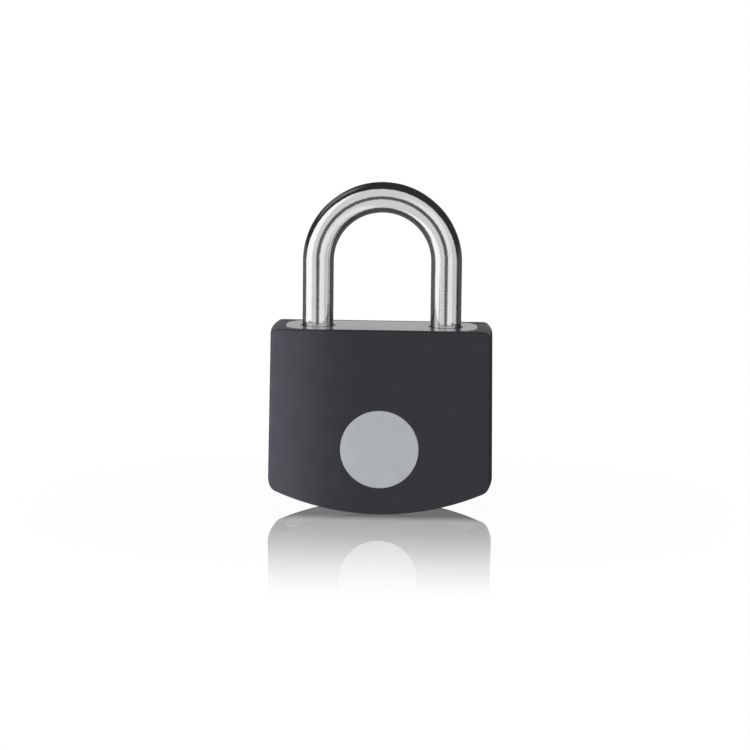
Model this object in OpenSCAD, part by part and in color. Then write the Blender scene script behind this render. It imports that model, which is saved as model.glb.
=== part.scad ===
// Padlock with a covered body, a lifting shackle and a four pin lock cylinder.
// The origin is at the bottom centre of the curved base: X across, -Y front, Z up.
// Everything is drawn with the shackle closed, the plug turned to open and the bolt drawn back.

/* [Body] */
// Width of the body's front and back faces across their top edge
body_w = 42; // [34:0.1:60]
// Height of the body from the lowest point of its base
body_h = 36; // [34.5:0.1:60]
// Thickness of the body from front to back
body_t = 15.2; // [14.6:0.1:24]
// How much wider each side is at the low corners than at the top
body_flare = 0.4; // [0:0.01:2]
// How far each side bows out at the middle of the body's thickness
side_bow = 0.55; // [0.1:0.05:1.2]
// How far the curved base rises at its low corners
base_rise = 4.8; // [3.6:0.05:5.4]
// Radius of the top corners seen from the front
top_corner_r = 0.7; // [0.3:0.1:1.6]
// Radius of the low corners seen from the front
low_corner_r = 2.2; // [0.3:0.1:2.6]
// Radius of the long top edges at the front and back
top_edge_r = 0.75; // [0.2:0.05:1]

/* [Cover and core] */
// Thickness of the cover at the front and back
cover_wall = 1.2; // [1.1:0.05:1.5]
// Thickness of the cover at each end, at the top edge
cover_end = 2.3; // [1.6:0.05:2.8]
// Radius of the corners of the cover's pocket
pocket_r = 1.2; // [0.4:0.1:2.4]
// Radius of the core's upright corners
core_corner_r = 4.5; // [1.2:0.1:5]
// Bevel round the top of the core
core_bevel = 0.25; // [0.1:0.05:0.5]
// Gap between the cover and the core, and round every pressed-in piece
seat_gap = 0.01; // [0.005:0.005:0.03]

/* [Badge] */
// Diameter of the blank badge let into the front
badge_d = 15.3; // [8:0.1:20]
// Thickness of the badge
badge_t = 0.8; // [0.4:0.05:0.9]
// Height of the badge's centre above the base
badge_z = 12.8; // [12.2:0.1:20]

/* [Shackle] */
// Diameter of the shackle's rod
rod_d = 6; // [5:0.1:7.4]
// Distance from the core's end to the axis of the nearer leg
leg_inset = 6.25; // [5.9:0.05:7]
// Clear height inside the closed shackle, above the body
clear_h = 22.1; // [20:0.1:80]
// How far the long heel leg reaches into the body
heel_depth = 26.3; // [25.5:0.1:27]
// How far the short toe leg reaches into the body
toe_depth = 10.3; // [9.6:0.1:10.6]
// How far the shackle lifts when it is open
lift = 11; // [10.7:0.1:11.4]
// Gap round each leg in its hole
leg_gap = 0.25; // [0.15:0.05:0.4]
// Bevel round the mouth of each leg hole
mouth_bevel = 0.4; // [0.1:0.05:0.7]
// Depth of the bolt's notch in the toe leg
notch_depth = 1.7; // [1.2:0.1:2.2]

/* [Lock cylinder] */
// Diameter of the plug
plug_d = 9.92; // [8.2:0.02:10.2]
// Gap between the plug and its bore
plug_gap = 0.04; // [0.02:0.01:0.08]
// How far the plug's head stands out round the plug
head_lip = 0.64; // [0.4:0.02:0.74]
// How far the plug's face is sunk above the lowest point of the base
face_sink = 0.8; // [0.6:0.1:1.2]
// Diameter of the pins
pin_d = 2.7; // [2.2:0.1:2.8]
// Gap between a pin and its hole
pin_gap = 0.05; // [0.03:0.01:0.08]
// Spacing of the pins along the plug
pin_pitch = 3.7; // [3.4:0.05:3.8]
// Height of the lowest pin above the edge of the base at the core's end
first_pin_rise = 2.5; // [2.3:0.1:2.8]
// Length of the driver pins
driver_len = 4.2; // [3:0.1:4.6]
// Length of the plugs that close the pin chambers
chamber_plug_len = 2.5; // [1.5:0.1:2.8]

/* [Bolt] */
// Diameter of the locking bolt
bolt_d = 4.4; // [3.6:0.1:5]
// Gap between the bolt and its bore
bolt_gap = 0.05; // [0.03:0.01:0.08]
// Depth of the bolt's axis below the top of the body
bolt_depth = 5.7; // [5.2:0.1:6]
// Distance from the plug's axis to the cam's pin
crank_r = 1.6; // [1.3:0.05:1.7]
// Diameter of the cam's pin
crank_pin_d = 1.2; // [1:0.1:1.3]
// Length of the bolt's spring when the bolt is drawn back
bolt_spring_len = 2.4; // [2:0.1:2.6]

/* [Springs] */
// Wire diameter of the shackle's spring
shackle_wire = 0.6; // [0.4:0.05:0.7]
// Wire diameter of the bolt's spring
bolt_wire = 0.35; // [0.25:0.05:0.4]
// Wire diameter of the pin springs
pin_wire = 0.3; // [0.2:0.05:0.35]

/* [Hidden] */
$fn = 72;
PINS = [1, 2, 3, 4];
SOLO = ["cover", "body_core", "front_badge", "shackle", "shackle_spring",
        "shackle_retaining_pin", "locking_bolt", "bolt_spring", "bolt_bore_plug",
        "cylinder_plug", "cam", "plug_retaining_pin"];

past = 1;                 // how far a cut runs past the face it opens
fillet_cross = 0.003;     // a fillet's circle crosses its edges by this much, so none only touches
open_turn = 90;           // angle from locked to open
bolt_side = 45;           // angle of the cam's pin from X when locked

// Front outline of the body
low_half = body_w / 2 + body_flare;
base_r = (low_half * low_half + base_rise * base_rise) / (2 * base_rise);
side_run = body_h - base_rise;
side_len = norm([body_flare, side_run]);
side_out = [side_run, body_flare] / side_len;
side_down = [body_flare, -side_run] / side_len;
bow_half = body_w / 2 + side_bow;
bow_r = (body_t * body_t / 4 + side_bow * side_bow) / (2 * side_bow);
function base_z(x) = base_r - sqrt(base_r * base_r - x * x);
function side_x(z) = bow_half + body_flare * (body_h - z) / side_run;

// Core
core_w = body_w - 2 * cover_end;
core_t = body_t - 2 * cover_wall;
core_end = core_w / 2;

// Shackle
rod_r = rod_d / 2;
leg_x = core_end - leg_inset;
hole_r = rod_r + leg_gap;
crown_z = body_h + clear_h - (leg_x - rod_r);
heel_tip_z = body_h - heel_depth;
heel_floor_gap = 4.5;     // room for the shackle's spring below the closed heel
heel_floor_z = heel_tip_z - heel_floor_gap;
toe_tip_z = body_h - toe_depth;
toe_floor_z = toe_tip_z - 0.5;
tip_bevel = 0.6;
heel_head_h = 2;          // height of the full-width end below the neck
neck_r = rod_r - 1;
keeper_r = 1;             // radius of the pin that keeps the heel in
keeper_x = -(leg_x + neck_r + keeper_r + 0.15);
keeper_z = heel_tip_z + heel_head_h + lift + keeper_r + 0.05;
neck_top_z = keeper_z + keeper_r + 0.2;

// Bolt
bolt_r = bolt_d / 2;
bolt_bore_r = bolt_r + bolt_gap;
bolt_z = body_h - bolt_depth;
bolt_travel = 2 * crank_r * cos(bolt_side);
bolt_tip_gap = 0.2;
bolt_tip_x = leg_x - rod_r + notch_depth - bolt_tip_gap - bolt_travel;
bolt_bore_wall = 0.8;     // metal left between the bolt's bore and the heel's hole
bolt_bore_end_x = -(leg_x - hole_r - bolt_bore_wall);
bolt_tail_x = bolt_bore_end_x + bolt_spring_len;
bolt_tip_bevel = 0.45;
notch_gap = 0.2;          // room above and below the bolt in its notch
bore_plug_wall = 0.6;     // metal left between the toe's hole and the bore plug
bore_plug_x = leg_x + hole_r + bore_plug_wall;
crank_pin_r = crank_pin_d / 2;
crank_gap = 0.12;
crank_top_z = bolt_z - 0.5;
crank_len = 4.1;
slot_top_z = crank_top_z + 0.15;

// Lock cylinder
plug_r = plug_d / 2;
bore_r = plug_r + plug_gap;
head_r = plug_r + head_lip;
head_h = 1.2;
head_gap = 0.05;
cam_t = 1.1;
cam_r = plug_r - 0.16;
cam_top_z = crank_top_z - crank_len;
plug_top_z = cam_top_z - cam_t;
bore_top_z = cam_top_z + 0.1;
tongue_w = 2.4;
tongue_l = 2 * (plug_r - 1.96);
tongue_h = 1.15;
tongue_gap = 0.05;
stop_r = 0.8;             // radius of the pin that keeps the plug in
stop_x = -bore_r;
stop_z = plug_top_z - 2.5;
stop_gap = 0.12;
groove_r = bore_r - stop_r - 0.15;
pin_r = pin_d / 2;
pin_hole_r = pin_r + pin_gap;
pin_floor = 0.4;          // distance from the plug's axis to the floor of its pin holes
pin_bevel = 0.2;
pin_dome = 0.21;          // how far a key pin's flat end lies below the round of the plug
key_pin_len = [2.85, 3.45, 2.55, 3.15];
key_pin_point = 0.95;     // height of the key pins' pointed end
key_pin_tip_r = 0.45;
first_pin_z = base_z(core_end) + first_pin_rise;
driver_end_x = bore_r + driver_len;
chamber_plug_x = core_end - chamber_plug_len;
keyway_top_z = first_pin_z + (len(PINS) - 1) * pin_pitch + pin_r + 0.5;
function pin_z(n) = first_pin_z + (n - 1) * pin_pitch;

// Colours
COVER_GREY = "#3b3a3f";
CORE_GREY = "#b9b7b7";
BADGE_GREY = "#adafb2";
CHROME = "#d4d6d8";
BRASS = "#c9a75c";
STEEL = "#8f949a";

// ---- shapes used by several pieces ----

// Round cylinder along X between two places
module bar_x(r, x0, x1, z) {
    translate([x0, 0, z]) rotate([0, 90, 0]) cylinder(r = r, h = x1 - x0);
}

// Round cylinder along Y, centred on the front-to-back middle
module bar_y(r, length, x, z) {
    translate([x, 0, z]) rotate([90, 0, 0]) cylinder(r = r, h = length, center = true);
}

// What a fillet takes off a corner: c is its centre, u and v point to the edges it meets
module corner_waste(c, u, v, r) {
    difference() {
        polygon([c + r * u, c + 2 * r * (u + v) / norm(u + v), c + r * v]);
        translate(c) circle(r = r + fillet_cross);
    }
}

// Rounded rectangle
module rounded_plan(w, d, r) {
    square([w - 2 * r, d], center = true);
    square([w, d - 2 * r], center = true);
    for (x = [-1, 1], y = [-1, 1])
        translate([x * (w / 2 - r), y * (d / 2 - r)]) circle(r = r);
}

// Wall outline from z0 to z1 with its two top edges bevelled
module bevelled_outline(w, z0, z1, bevel) {
    polygon([[-w / 2, z0], [w / 2, z0], [w / 2, z1 - bevel], [w / 2 - bevel, z1],
             [bevel - w / 2, z1], [-w / 2, z1 - bevel]]);
}

// Block with round upright corners and a bevel all round its top
module bevelled_block(w, d, r, z0, z1, bevel) {
    rotate([90, 0, 0]) linear_extrude(d - 2 * r, center = true)
        bevelled_outline(w, z0, z1, bevel);
    rotate([90, 0, 90]) linear_extrude(w - 2 * r, center = true)
        bevelled_outline(d, z0, z1, bevel);
    for (x = [-1, 1], y = [-1, 1])
        translate([x * (w / 2 - r), y * (d / 2 - r), 0]) rotate_extrude()
            polygon([[0, z0], [r, z0], [r, z1 - bevel], [r - bevel, z1], [0, z1]]);
}

// Turned pin along Z with both rims bevelled
module turned_pin(r, length, bevel) {
    rotate_extrude()
        polygon([[0, 0], [r - bevel, 0], [r, bevel], [r, length - bevel],
                 [r - bevel, length], [0, length]]);
}

// Height of a spring's wire after u turns: the first and last turns lie closed
function coil_z(u, turns, rise, closed) =
    u < 1 ? u * closed
    : u > turns - 1 ? rise - (turns - u) * closed
    : closed + (u - 1) * (rise - 2 * closed) / (turns - 2);

// Coil spring standing on the origin, swept along a helix
module coil(length, outer_d, wire, turns, sides = 6, steps = 14) {
    rings = turns * steps;
    mid_r = (outer_d - wire) / 2;
    points = [for (i = [0 : rings], k = [0 : sides - 1])
        let (a = 360 * i / steps,
             b = 360 * k / sides,
             r = mid_r + wire / 2 * cos(b),
             z = wire / 2 + coil_z(i / steps, turns, length - wire, wire * 1.04))
        [r * cos(a), r * sin(a), z + wire / 2 * sin(b)]];
    walls = [for (i = [0 : rings - 1], k = [0 : sides - 1])
        let (a = i * sides + k,
             d = i * sides + (k + 1) % sides)
        each [[a, d, d + sides], [a, d + sides, a + sides]]];
    ends = [[for (k = [0 : sides - 1]) sides - 1 - k],
            [for (k = [0 : sides - 1]) rings * sides + k]];
    polyhedron(points, concat(walls, ends), convexity = 8);
}

// ---- body ----

// Front outline at the middle of the thickness, where the sides bow out the furthest: straight
// flared sides, an arc for the base and four rounded corners
module front_outline() {
    top_c = [side_x(body_h - top_corner_r) - top_corner_r / side_out.x,
             body_h - top_corner_r];
    p = [bow_half, body_h] - low_corner_r * side_out - [0, base_r];
    reach = base_r - low_corner_r;
    along = sqrt(pow(p * side_down, 2) - p * p + reach * reach) - p * side_down;
    low_c = p + along * side_down + [0, base_r];
    difference() {
        intersection() {
            polygon([[-side_x(-past), -past], [side_x(-past), -past],
                     [bow_half, body_h], [-bow_half, body_h]]);
            translate([0, base_r]) circle(r = base_r);
        }
        for (flip = [0, 1]) mirror([flip, 0]) {
            corner_waste(top_c, side_out, [0, 1], top_corner_r);
            corner_waste(low_c, side_out, (low_c - [0, base_r]) / reach, low_corner_r);
        }
    }
}

// Side outline: a plain strip with its two top edges rounded
module side_outline() {
    difference() {
        translate([-body_t / 2, -past]) square([body_t, body_h + past]);
        for (flip = [0, 1]) mirror([flip, 0])
            corner_waste([body_t / 2, body_h] - top_edge_r * [1, 1], [1, 0], [0, 1],
                         top_edge_r);
    }
}

// Leaning cylinder that bows one side of the body from front to back
module side_barrel() {
    translate([bow_half, 0, body_h]) rotate([0, -atan2(body_flare, side_run), 0])
        translate([-bow_r, 0, -body_h - 2 * past])
            cylinder(r = bow_r, h = body_h + 4 * past, $fn = 4 * $fn);
}

// Dark sleeve round the core, open at the top and the base
module cover() {
    color(COVER_GREY) difference() {
        intersection() {
            rotate([90, 0, 0]) linear_extrude(body_t, center = true) front_outline();
            rotate([90, 0, 90])
                linear_extrude(2 * (low_half + side_bow) + 2 * past, center = true)
                    side_outline();
            side_barrel();
            mirror([1, 0, 0]) side_barrel();
        }
        translate([0, 0, -past]) linear_extrude(body_h + 2 * past)
            rounded_plan(core_w + 2 * seat_gap, core_t + 2 * seat_gap, pocket_r);
        translate([0, -body_t / 2 - past, badge_z]) rotate([-90, 0, 0])
            cylinder(d = badge_d + 2 * seat_gap, h = badge_t + past);
    }
}

// Blank disc let into the cover's front, flush with it
module front_badge() {
    bevel = 0.12;
    color(BADGE_GREY) translate([0, -body_t / 2, badge_z]) rotate([-90, 0, 0])
        rotate_extrude()
            polygon([[0, 0], [badge_d / 2 - bevel, 0], [badge_d / 2, bevel],
                     [badge_d / 2, badge_t], [0, badge_t]]);
}

// Hole for one shackle leg, with a bevelled mouth
module leg_hole(x, floor_z) {
    translate([x, 0, floor_z]) cylinder(r = hole_r, h = body_h - floor_z + past);
    translate([x, 0, body_h - mouth_bevel])
        cylinder(r1 = hole_r, r2 = hole_r + mouth_bevel + past, h = mouth_bevel + past);
}

// Solid block that holds the shackle, the bolt and the lock cylinder
module body_core() {
    color(CORE_GREY) difference() {
        intersection() {
            bevelled_block(core_w, core_t, core_corner_r, -past, body_h, core_bevel);
            bar_y(base_r, body_t, 0, base_r);
        }
        leg_hole(-leg_x, heel_floor_z);
        leg_hole(leg_x, toe_floor_z);
        translate([0, 0, -past]) cylinder(r = bore_r, h = bore_top_z + past);
        translate([0, 0, -past])
            cylinder(r = head_r + head_gap, h = face_sink + head_h + head_gap + past);
        cylinder(r = crank_r + crank_pin_r + 0.3, h = crank_top_z + 0.3);
        bar_x(bolt_bore_r, bolt_bore_end_x, core_end + past, bolt_z);
        for (n = PINS) bar_x(pin_hole_r, 0, core_end + past, pin_z(n));
        bar_y(keeper_r + seat_gap, body_t, keeper_x, keeper_z);
        bar_y(stop_r + seat_gap, body_t, stop_x, stop_z);
    }
}

// ---- shackle ----

// Bent rod with a long necked heel leg and a short notched toe leg
module shackle() {
    color(CHROME) difference() {
        union() {
            translate([0, 0, crown_z]) rotate([90, 0, 0]) rotate_extrude(angle = 180)
                translate([leg_x, 0]) circle(r = rod_r);
            translate([-leg_x, 0, 0]) rotate_extrude()
                polygon([[0, heel_tip_z], [rod_r - tip_bevel, heel_tip_z],
                         [rod_r, heel_tip_z + tip_bevel],
                         [rod_r, heel_tip_z + heel_head_h], [neck_r, heel_tip_z + heel_head_h],
                         [neck_r, neck_top_z], [rod_r, neck_top_z], [rod_r, crown_z],
                         [0, crown_z]]);
            translate([leg_x, 0, 0]) rotate_extrude()
                polygon([[0, toe_tip_z], [rod_r - tip_bevel, toe_tip_z],
                         [rod_r, toe_tip_z + tip_bevel], [rod_r, crown_z], [0, crown_z]]);
        }
        translate([leg_x - rod_r - past, -rod_r - past, bolt_z - bolt_r - notch_gap])
            cube([notch_depth + past, rod_d + 2 * past, bolt_d + 2 * notch_gap]);
    }
}

// Spring under the heel that throws the shackle up
module shackle_spring() {
    color(STEEL) translate([-leg_x, 0, heel_floor_z])
        coil(heel_floor_gap, rod_d - 0.4, shackle_wire, 5, 8, 18);
}

// Cross pin beside the heel's neck that stops the shackle from coming right out
module shackle_retaining_pin() {
    color(STEEL) bar_y(keeper_r, core_t, keeper_x, keeper_z);
}

// ---- bolt ----

// Sliding bolt with a slot across its underside for the cam's pin
module locking_bolt() {
    slot_x = -crank_r * cos(bolt_side);
    slot_w = crank_pin_d + 2 * crank_gap;
    color(STEEL) difference() {
        translate([bolt_tail_x, 0, bolt_z]) rotate([0, 90, 0])
            turned_pin(bolt_r, bolt_tip_x - bolt_tail_x, bolt_tip_bevel);
        translate([slot_x - slot_w / 2, -bolt_r - past, bolt_z - bolt_r - past])
            cube([slot_w, bolt_d + 2 * past, slot_top_z - bolt_z + bolt_r + past]);
    }
}

// Spring behind the bolt that pushes it towards the toe leg
module bolt_spring() {
    color(STEEL) translate([bolt_bore_end_x, 0, bolt_z]) rotate([0, 90, 0])
        coil(bolt_spring_len, bolt_d - 0.8, bolt_wire, 4, 6, 16);
}

// Pressed-in plug that closes the bolt's bore at the end of the core
module bolt_bore_plug() {
    color(BRASS) bar_x(bolt_bore_r - seat_gap, bore_plug_x, core_end, bolt_z);
}

// ---- lock cylinder ----

// Keyway outline in the plug's locked position, pins towards +X: three offset steps
module keyway_outline() {
    low = -(plug_r - 0.96);
    high = plug_r - 1.76;
    translate([low, -0.95]) square([-low - 1.1, 1.5]);
    translate([-1.7, -0.4]) square([2.9, 1.35]);
    translate([0.7, -0.85]) square([high - 0.7, 1.5]);
}

// Rotating plug with its keyway, pin holes, keeper groove and the cam's slot
module cylinder_plug() {
    groove_h = 2 * (stop_r + stop_gap);
    color(BRASS) rotate([0, 0, open_turn]) difference() {
        rotate_extrude()
            polygon([[0, face_sink], [head_r, face_sink], [head_r, face_sink + head_h],
                     [plug_r, face_sink + head_h], [plug_r, stop_z - groove_h / 2],
                     [groove_r, stop_z - groove_h / 2], [groove_r, stop_z + groove_h / 2],
                     [plug_r, stop_z + groove_h / 2], [plug_r, plug_top_z],
                     [0, plug_top_z]]);
        linear_extrude(keyway_top_z) keyway_outline();
        for (n = PINS) bar_x(pin_hole_r, pin_floor, plug_r + past, pin_z(n));
        translate([-tongue_l / 2 - tongue_gap, -tongue_w / 2 - tongue_gap,
                   plug_top_z - tongue_h - tongue_gap])
            cube([tongue_l + 2 * tongue_gap, tongue_w + 2 * tongue_gap, tongue_h + past]);
    }
}

// Cam on the plug's inner end: a tongue below it and an offset pin above
module cam() {
    color(STEEL) rotate([0, 0, open_turn]) {
        translate([0, 0, plug_top_z]) cylinder(r = cam_r, h = cam_t);
        translate([-tongue_l / 2, -tongue_w / 2, plug_top_z - tongue_h])
            cube([tongue_l, tongue_w, tongue_h + cam_t / 2]);
        translate([crank_r * cos(bolt_side), crank_r * sin(bolt_side), plug_top_z])
            cylinder(r = crank_pin_r, h = crank_top_z - plug_top_z);
    }
}

// Cross pin in the plug's groove that keeps the plug in its bore
module plug_retaining_pin() {
    color(STEEL) bar_y(stop_r, core_t, stop_x, stop_z);
}

// Pointed pin inside the plug, held with its flat end at the shear line
module key_pin(n) {
    length = key_pin_len[n - 1];
    top = plug_r - pin_dome;
    color(BRASS) rotate([0, 0, open_turn]) translate([top - length, 0, pin_z(n)])
        rotate([0, 90, 0]) rotate_extrude()
            polygon([[0, 0], [key_pin_tip_r, 0], [pin_r, key_pin_point],
                     [pin_r, length - pin_bevel], [pin_r - pin_bevel, length], [0, length]]);
}

// Spring-loaded pin in the core, resting on the round of the turned plug
module driver_pin(n) {
    color(STEEL) translate([bore_r, 0, pin_z(n)]) rotate([0, 90, 0])
        turned_pin(pin_r, driver_len, pin_bevel);
}

// Spring behind one driver pin
module pin_spring(n) {
    color(STEEL) translate([driver_end_x, 0, pin_z(n)]) rotate([0, 90, 0])
        coil(chamber_plug_x - driver_end_x, pin_d - 0.2, pin_wire, 8, 6, 12);
}

// Pressed-in plug that closes one pin chamber at the end of the core
module chamber_plug(n) {
    color(BRASS) bar_x(pin_hole_r - seat_gap, chamber_plug_x, core_end, pin_z(n));
}

cover();
body_core();
front_badge();
shackle();
shackle_spring();
shackle_retaining_pin();
locking_bolt();
bolt_spring();
bolt_bore_plug();
cylinder_plug();
cam();
plug_retaining_pin();
for (n = PINS) key_pin(n);
for (n = PINS) driver_pin(n);
for (n = PINS) pin_spring(n);
for (n = PINS) chamber_plug(n);
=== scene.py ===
import math

import bmesh
import bpy
from mathutils import Matrix, Vector


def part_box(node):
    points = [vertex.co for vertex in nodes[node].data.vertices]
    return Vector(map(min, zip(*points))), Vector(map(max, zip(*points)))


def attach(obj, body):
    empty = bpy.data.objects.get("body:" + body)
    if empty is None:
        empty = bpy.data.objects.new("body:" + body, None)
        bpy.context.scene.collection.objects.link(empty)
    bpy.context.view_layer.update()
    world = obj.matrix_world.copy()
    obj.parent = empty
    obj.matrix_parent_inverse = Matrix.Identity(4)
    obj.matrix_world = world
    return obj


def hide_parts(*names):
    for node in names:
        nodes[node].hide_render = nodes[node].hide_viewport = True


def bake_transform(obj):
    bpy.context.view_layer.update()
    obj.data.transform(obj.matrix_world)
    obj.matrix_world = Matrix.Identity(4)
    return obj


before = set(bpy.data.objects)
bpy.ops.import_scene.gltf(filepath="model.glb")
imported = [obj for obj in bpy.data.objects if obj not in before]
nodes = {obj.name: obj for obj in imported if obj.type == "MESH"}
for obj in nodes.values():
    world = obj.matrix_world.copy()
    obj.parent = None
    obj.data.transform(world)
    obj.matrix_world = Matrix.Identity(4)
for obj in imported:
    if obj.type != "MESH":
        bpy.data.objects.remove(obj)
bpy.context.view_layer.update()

slotOf = {name: node.material_slots[0].material.name.split(".")[0] for name, node in nodes.items()}
mm = 0.001               # everything below is drawn in millimetres and shrunk to metres at the end
print("frame loaded with", len(nodes), "nodes")


cross = 0.01             # how far a rounded cutter runs past a face, so that it never only touches


def low(node):
    # lowest corner of a node's box, in millimetres
    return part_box(node)[0] / mm


def high(node):
    # highest corner of a node's box, in millimetres
    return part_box(node)[1] / mm


# Mesh helpers. Outlines are drawn in the XZ plane, as seen from the front.

def runTo(bm, vert, x, z):
    # a straight edge from vert to a new point
    made = bmesh.ops.extrude_vert_indiv(bm, verts=[vert])["verts"][0]
    made.co = (x, vert.co.y, z)
    return made


def turnAbout(bm, vert, centre, degrees, steps):
    # a chain of edges round a centre, clockwise from the front
    made = bmesh.ops.spin(bm, geom=[vert], cent=(centre[0], vert.co.y, centre[1]), axis=(0, 1, 0),
                          angle=math.radians(degrees), steps=steps, use_duplicate=False)
    return [g for g in made["geom_last"] if isinstance(g, bmesh.types.BMVert)][0]


def tidyMesh(bm):
    bmesh.ops.remove_doubles(bm, verts=bm.verts[:], dist=0.0005)
    bmesh.ops.recalc_face_normals(bm, faces=bm.faces[:])


def sharpEdges(bm, degrees):
    return [e for e in bm.edges if len(e.link_faces) == 2 and e.calc_face_angle(0) > math.radians(degrees)]


def roundEdges(bm, edges, width, steps=3):
    bmesh.ops.bevel(bm, geom=edges, affect="EDGES", offset=width, segments=steps, profile=0.5,
                    material=-1, clamp_overlap=True)


def pushOut(bm, face, thickness):
    # a flat outline becomes a slab that runs back along Y
    made = bmesh.ops.extrude_face_region(bm, geom=[face])
    verts = [g for g in made["geom"] if isinstance(g, bmesh.types.BMVert)]
    bmesh.ops.translate(bm, verts=verts, vec=(0, thickness, 0))


def lathe(bm, steps):
    # the profile's edges, drawn with x as the radius, turned round the Z axis
    bmesh.ops.spin(bm, geom=bm.verts[:] + bm.edges[:], cent=(0, 0, 0), axis=(0, 0, 1),
                   angle=math.tau, steps=steps, use_merge=True, use_duplicate=False)
    tidyMesh(bm)


def place(bm, x=0.0, y=0.0, z=0.0, turn=None):
    # turn is (degrees, axis) about the origin, before the move
    matrix = Matrix.Translation((x, y, z))
    if turn:
        matrix = matrix @ Matrix.Rotation(math.radians(turn[0]), 4, turn[1])
    bmesh.ops.transform(bm, matrix=matrix, verts=bm.verts[:])


def toObject(bm, name):
    mesh = bpy.data.meshes.new(name)
    bm.to_mesh(mesh)
    bm.free()
    piece = bpy.data.objects.new(name, mesh)
    bpy.context.scene.collection.objects.link(piece)
    return piece


def settle(piece):
    # the modifiers' result becomes the mesh
    graph = bpy.context.evaluated_depsgraph_get()
    made = bpy.data.meshes.new_from_object(piece.evaluated_get(graph))
    piece.modifiers.clear()
    piece.data = made


def cutAway(piece, *cutters):
    for cutter in cutters:
        boolean = piece.modifiers.new("cut", "BOOLEAN")
        boolean.operation = "DIFFERENCE"
        boolean.solver = "EXACT"
        boolean.object = cutter
        settle(piece)
        bpy.data.objects.remove(cutter)


def finishPiece(piece, node, material, body, sharp=30, weighted=True):
    # metres, shading, finish and the body it moves with
    piece.data.transform(Matrix.Scale(mm, 4))
    piece.data.shade_smooth()
    piece.data.set_sharp_from_angle(angle=math.radians(sharp))
    if weighted:
        flat = piece.modifiers.new("flatFaces", "WEIGHTED_NORMAL")
        flat.keep_sharp = True
        flat.weight = 100
    piece.data.materials.clear()
    piece.data.materials.append(material)
    if body:
        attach(piece, body)
    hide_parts(node)
    return piece


def drill(radius, start, end, mouth=0.0, steps=72, at=(0, 0, 0), turn=None):
    # a round cutter along Z from start up to end, its mouth at the end rounded outwards
    bm = bmesh.new()
    tip = runTo(bm, bm.verts.new((0, 0, start)), radius, start)
    if mouth:
        rise = end - mouth + cross
        tip = runTo(bm, tip, radius, rise)
        tip = turnAbout(bm, tip, (radius + mouth, rise), 90, 5)
        tip = runTo(bm, tip, radius + mouth, end + 1)
    else:
        tip = runTo(bm, tip, radius, end)
    runTo(bm, tip, 0, tip.co.z)
    lathe(bm, steps)
    place(bm, *at, turn=turn)
    return toObject(bm, "cutter")


def roundedPlan(bm, width, depth, radius, steps=8):
    # a flat rounded rectangle at z 0
    made = bmesh.ops.create_grid(bm, x_segments=1, y_segments=1, size=0.5)
    bmesh.ops.scale(bm, vec=(width, depth, 1), verts=made["verts"])
    bmesh.ops.bevel(bm, geom=bm.verts[:], affect="VERTICES", offset=radius, segments=steps,
                    profile=0.5, material=-1)


def liftTop(bm, height, scale=(1, 1, 1)):
    # the top faces move up, and are scaled about the Z axis
    top = max(v.co.z for v in bm.verts)
    faces = [f for f in bm.faces if all(abs(v.co.z - top) < 1e-5 for v in f.verts)]
    made = bmesh.ops.extrude_face_region(bm, geom=faces)
    verts = [g for g in made["geom"] if isinstance(g, bmesh.types.BMVert)]
    bmesh.ops.translate(bm, verts=verts, vec=(0, 0, height))
    bmesh.ops.scale(bm, vec=scale, verts=verts)


# Shader helpers

def addNode(tree, kind, values=None, **settings):
    made = tree.nodes.new(kind)
    for key, value in settings.items():
        setattr(made, key, value)
    for key, value in (values or {}).items():
        made.inputs[key].default_value = value
    return made


def join(tree, source, output, target, entry):
    tree.links.new(source.outputs[output], target.inputs[entry])


def newGroup(name, inputs, outputs):
    group = bpy.data.node_groups.new(name, "ShaderNodeTree")
    for label, kind, value in inputs:
        made = group.interface.new_socket(label, in_out="INPUT", socket_type=kind)
        if value is not None:
            made.default_value = value
    for label, kind in outputs:
        group.interface.new_socket(label, in_out="OUTPUT", socket_type=kind)
    return group, group.nodes.new("NodeGroupInput"), group.nodes.new("NodeGroupOutput")


def grainGroup():
    # fine moulded or blasted grain, with a slower mottle under it
    group, enter, leave = newGroup(
        "fineGrain",
        [("Scale", "NodeSocketFloat", 4000.0), ("Mottle Scale", "NodeSocketFloat", 300.0)],
        [("Height", "NodeSocketFloat"), ("Mottle", "NodeSocketFloat")])
    coords = addNode(group, "ShaderNodeTexCoord")
    fine = addNode(group, "ShaderNodeTexNoise", {"Detail": 3.0, "Roughness": 0.6})
    slow = addNode(group, "ShaderNodeTexNoise", {"Detail": 4.0, "Roughness": 0.55})
    join(group, coords, "Object", fine, "Vector")
    join(group, coords, "Object", slow, "Vector")
    join(group, enter, "Scale", fine, "Scale")
    join(group, enter, "Mottle Scale", slow, "Scale")
    join(group, fine, "Fac", leave, "Height")
    join(group, slow, "Fac", leave, "Mottle")
    return group


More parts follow.
